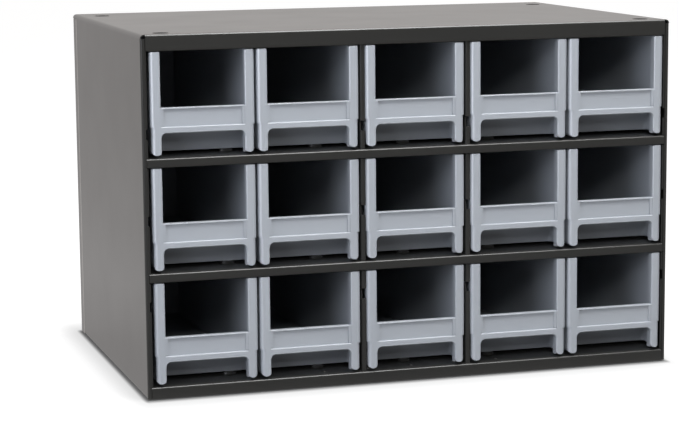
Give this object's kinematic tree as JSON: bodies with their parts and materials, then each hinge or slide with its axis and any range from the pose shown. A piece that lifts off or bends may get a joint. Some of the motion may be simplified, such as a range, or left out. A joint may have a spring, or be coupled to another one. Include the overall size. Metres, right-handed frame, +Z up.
{
  "type": "parts bin cabinet",
  "caption": "Sheet-steel storage cabinet with rows of open-fronted moulded bins that slide out of shelves between vertical dividers",
  "frame": {"origin": "middle of the underside of the bounding box, on the ground", "axes": "+X to the right along the width, +Y to the back, +Z up; the bins open towards -Y"},
  "size_m": [0.4318, 0.2794, 0.2794],
  "materials": {
    "case_paint": "semi-gloss charcoal powder coat",
    "bin_plastic": "satin moulded polymer, bluish light grey"
  },
  "bodies": {
    "case": {"outer_wrapper": "case_paint", "header_stiffener": "case_paint", "side_liner_left": "case_paint", "side_liner_right": "case_paint", "divider_left": "case_paint", "divider_right": "case_paint", "shelf_upper": "case_paint", "shelf_lower": "case_paint", "bottom_pan": "case_paint", "back_panel": "case_paint"},
    "drawer_r1c1": {"drawer_r1c1": "bin_plastic"},
    "drawer_r1c2": {"drawer_r1c2": "bin_plastic"},
    "drawer_r1c3": {"drawer_r1c3": "bin_plastic"},
    "drawer_r1c4": {"drawer_r1c4": "bin_plastic"},
    "drawer_r1c5": {"drawer_r1c5": "bin_plastic"},
    "drawer_r2c1": {"drawer_r2c1": "bin_plastic"},
    "drawer_r2c2": {"drawer_r2c2": "bin_plastic"},
    "drawer_r2c3": {"drawer_r2c3": "bin_plastic"},
    "drawer_r2c4": {"drawer_r2c4": "bin_plastic"},
    "drawer_r2c5": {"drawer_r2c5": "bin_plastic"},
    "drawer_r3c1": {"drawer_r3c1": "bin_plastic"},
    "drawer_r3c2": {"drawer_r3c2": "bin_plastic"},
    "drawer_r3c3": {"drawer_r3c3": "bin_plastic"},
    "drawer_r3c4": {"drawer_r3c4": "bin_plastic"},
    "drawer_r3c5": {"drawer_r3c5": "bin_plastic"}
  },
  "joints": [
    {"name": "drawer_r1c1_slide", "type": "slide", "parent": "case", "child": "drawer_r1c1", "axis": [0, -1, 0], "range_m": [0, 0.25]},
    {"name": "drawer_r1c2_slide", "type": "slide", "parent": "case", "child": "drawer_r1c2", "axis": [0, -1, 0], "range_m": [0, 0.25]},
    {"name": "drawer_r1c3_slide", "type": "slide", "parent": "case", "child": "drawer_r1c3", "axis": [0, -1, 0], "range_m": [0, 0.25]},
    {"name": "drawer_r1c4_slide", "type": "slide", "parent": "case", "child": "drawer_r1c4", "axis": [0, -1, 0], "range_m": [0, 0.25]},
    {"name": "drawer_r1c5_slide", "type": "slide", "parent": "case", "child": "drawer_r1c5", "axis": [0, -1, 0], "range_m": [0, 0.25]},
    {"name": "drawer_r2c1_slide", "type": "slide", "parent": "case", "child": "drawer_r2c1", "axis": [0, -1, 0], "range_m": [0, 0.25]},
    {"name": "drawer_r2c2_slide", "type": "slide", "parent": "case", "child": "drawer_r2c2", "axis": [0, -1, 0], "range_m": [0, 0.25]},
    {"name": "drawer_r2c3_slide", "type": "slide", "parent": "case", "child": "drawer_r2c3", "axis": [0, -1, 0], "range_m": [0, 0.25]},
    {"name": "drawer_r2c4_slide", "type": "slide", "parent": "case", "child": "drawer_r2c4", "axis": [0, -1, 0], "range_m": [0, 0.25]},
    {"name": "drawer_r2c5_slide", "type": "slide", "parent": "case", "child": "drawer_r2c5", "axis": [0, -1, 0], "range_m": [0, 0.25]},
    {"name": "drawer_r3c1_slide", "type": "slide", "parent": "case", "child": "drawer_r3c1", "axis": [0, -1, 0], "range_m": [0, 0.25]},
    {"name": "drawer_r3c2_slide", "type": "slide", "parent": "case", "child": "drawer_r3c2", "axis": [0, -1, 0], "range_m": [0, 0.25]},
    {"name": "drawer_r3c3_slide", "type": "slide", "parent": "case", "child": "drawer_r3c3", "axis": [0, -1, 0], "range_m": [0, 0.25]},
    {"name": "drawer_r3c4_slide", "type": "slide", "parent": "case", "child": "drawer_r3c4", "axis": [0, -1, 0], "range_m": [0, 0.25]},
    {"name": "drawer_r3c5_slide", "type": "slide", "parent": "case", "child": "drawer_r3c5", "axis": [0, -1, 0], "range_m": [0, 0.25]}
  ]
}
